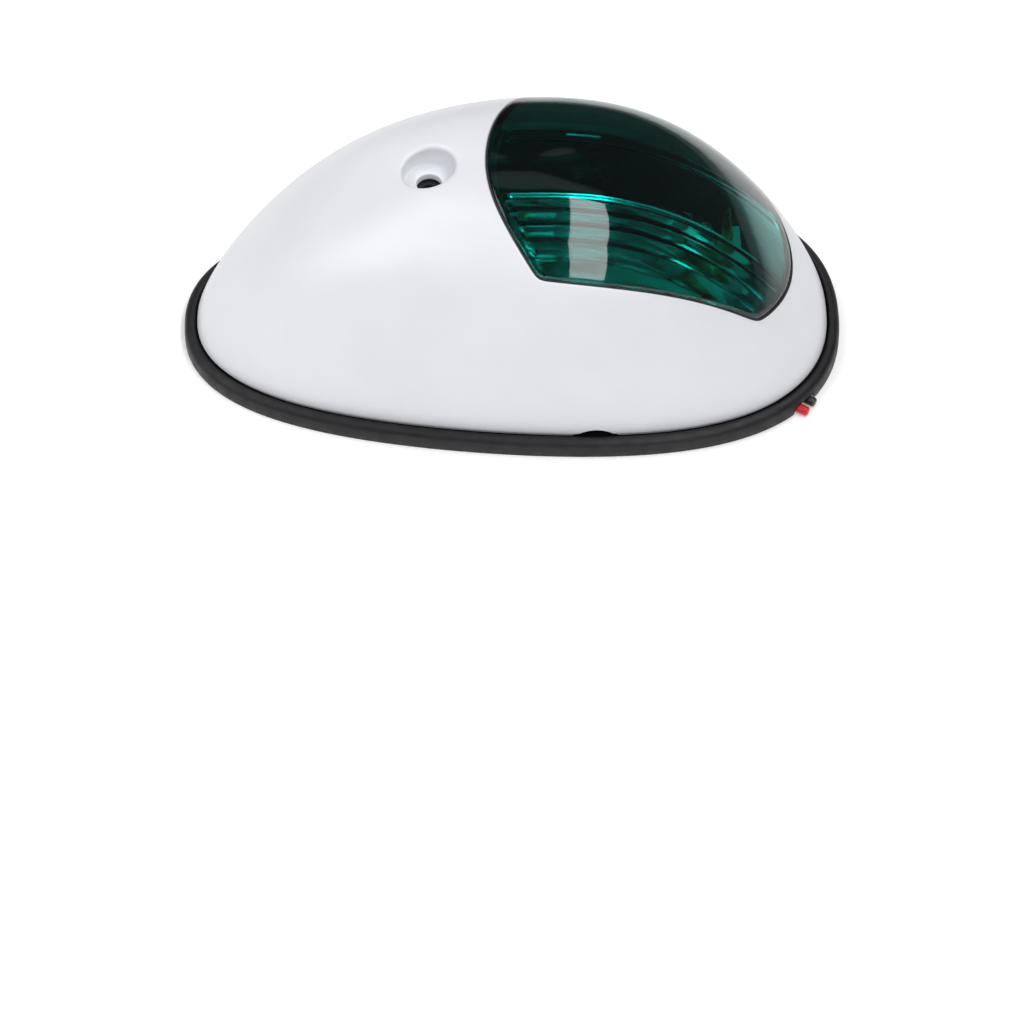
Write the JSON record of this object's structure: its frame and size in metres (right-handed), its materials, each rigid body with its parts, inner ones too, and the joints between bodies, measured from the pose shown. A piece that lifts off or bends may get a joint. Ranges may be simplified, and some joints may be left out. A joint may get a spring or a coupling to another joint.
{
  "type": "navigation light",
  "caption": "Side navigation light: teardrop domed cover with a green ribbed lens over a festoon lamp, on a gasketed base with two leads.",
  "frame": {"origin": "middle of the outline in plan, on the plane that the gasket's underside lies on", "axes": "+X towards the wide lens end, +Z away from the deck, -Y to the side where the two leads leave"},
  "size_m": [0.135, 0.0702, 0.0496],
  "materials": {
    "gasket_rubber": "satin",
    "base_plastic": "fine matt texture",
    "white_plastic": "smooth satin gloss",
    "green_lens": "clear green, polished outside, ribbed inside",
    "seal_rubber": "matt",
    "black_plastic": "matt",
    "holder_plastic": "satin",
    "reflector_metal": "bright white tray",
    "screw_steel": "bright",
    "contact_brass": "satin",
    "tinned_terminal": "tinned",
    "lamp_glass": "clear",
    "cap_metal": "nickel plated",
    "filament_metal": "drawn wire",
    "red_insulation": "soft sheen",
    "black_insulation": "soft sheen"
  },
  "bodies": {
    "base": {"base_gasket": "gasket_rubber", "base_plate": "base_plastic", "cover_post": "base_plastic", "cutoff_screen": "black_plastic", "reflector": "reflector_metal", "lamp_holder": "holder_plastic", "holder_screws": "screw_steel", "contact_aft": "contact_brass", "contact_forward": "contact_brass", "contact_rivets": "contact_brass", "terminal_red": "tinned_terminal", "terminal_black": "tinned_terminal", "lamp_glass": "lamp_glass", "lamp_cap_aft": "cap_metal", "lamp_cap_forward": "cap_metal", "lamp_filament": "filament_metal", "inner_lead_red": "red_insulation", "inner_lead_black": "black_insulation", "lead_grommet": "gasket_rubber", "lead_red": "red_insulation", "lead_black": "black_insulation"},
    "cover": {"cover": "white_plastic", "lens": "green_lens", "lens_seal": "seal_rubber"}
  },
  "joints": [
    {"name": "cover_lift", "type": "slide", "parent": "base", "child": "cover", "axis": [0, 0, 1], "range_m": [0, 0.06]}
  ]
}
